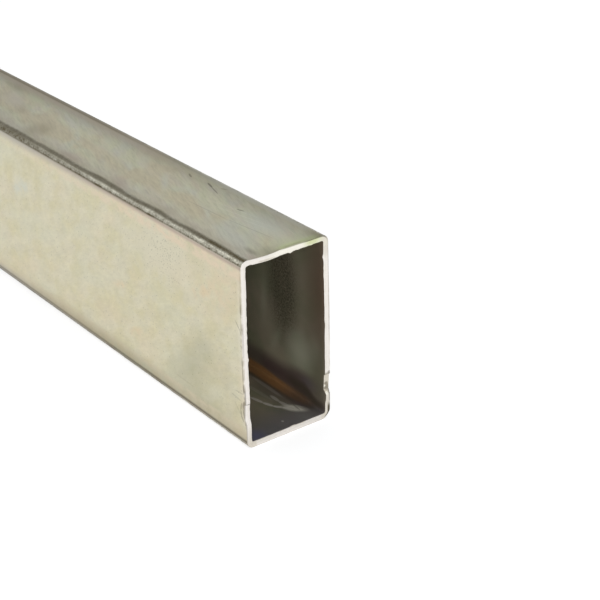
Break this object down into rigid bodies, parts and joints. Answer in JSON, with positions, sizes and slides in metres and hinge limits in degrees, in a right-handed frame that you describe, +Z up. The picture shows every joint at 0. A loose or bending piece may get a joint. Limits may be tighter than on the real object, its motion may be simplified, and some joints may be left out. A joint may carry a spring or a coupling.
{
  "type": "rectangular metal tube",
  "caption": "Thin-walled rectangular steel tube with rounded bends and open sawn ends, zinc plated, used as straight framing stock.",
  "frame": {"origin": "middle of the tube's length and width, on the narrow face that it lies on", "axes": "+X along the tube towards the sawn end with the notch, +Y across its width, +Z up along its height"},
  "size_m": [1, 0.025, 0.05],
  "materials": {
    "zinc_plate": "satin zinc plate with a pale yellow iridescent passivation, bare bright steel on the sawn ends"
  },
  "bodies": {
    "root": {"tube": "zinc_plate"}
  },
  "joints": []
}
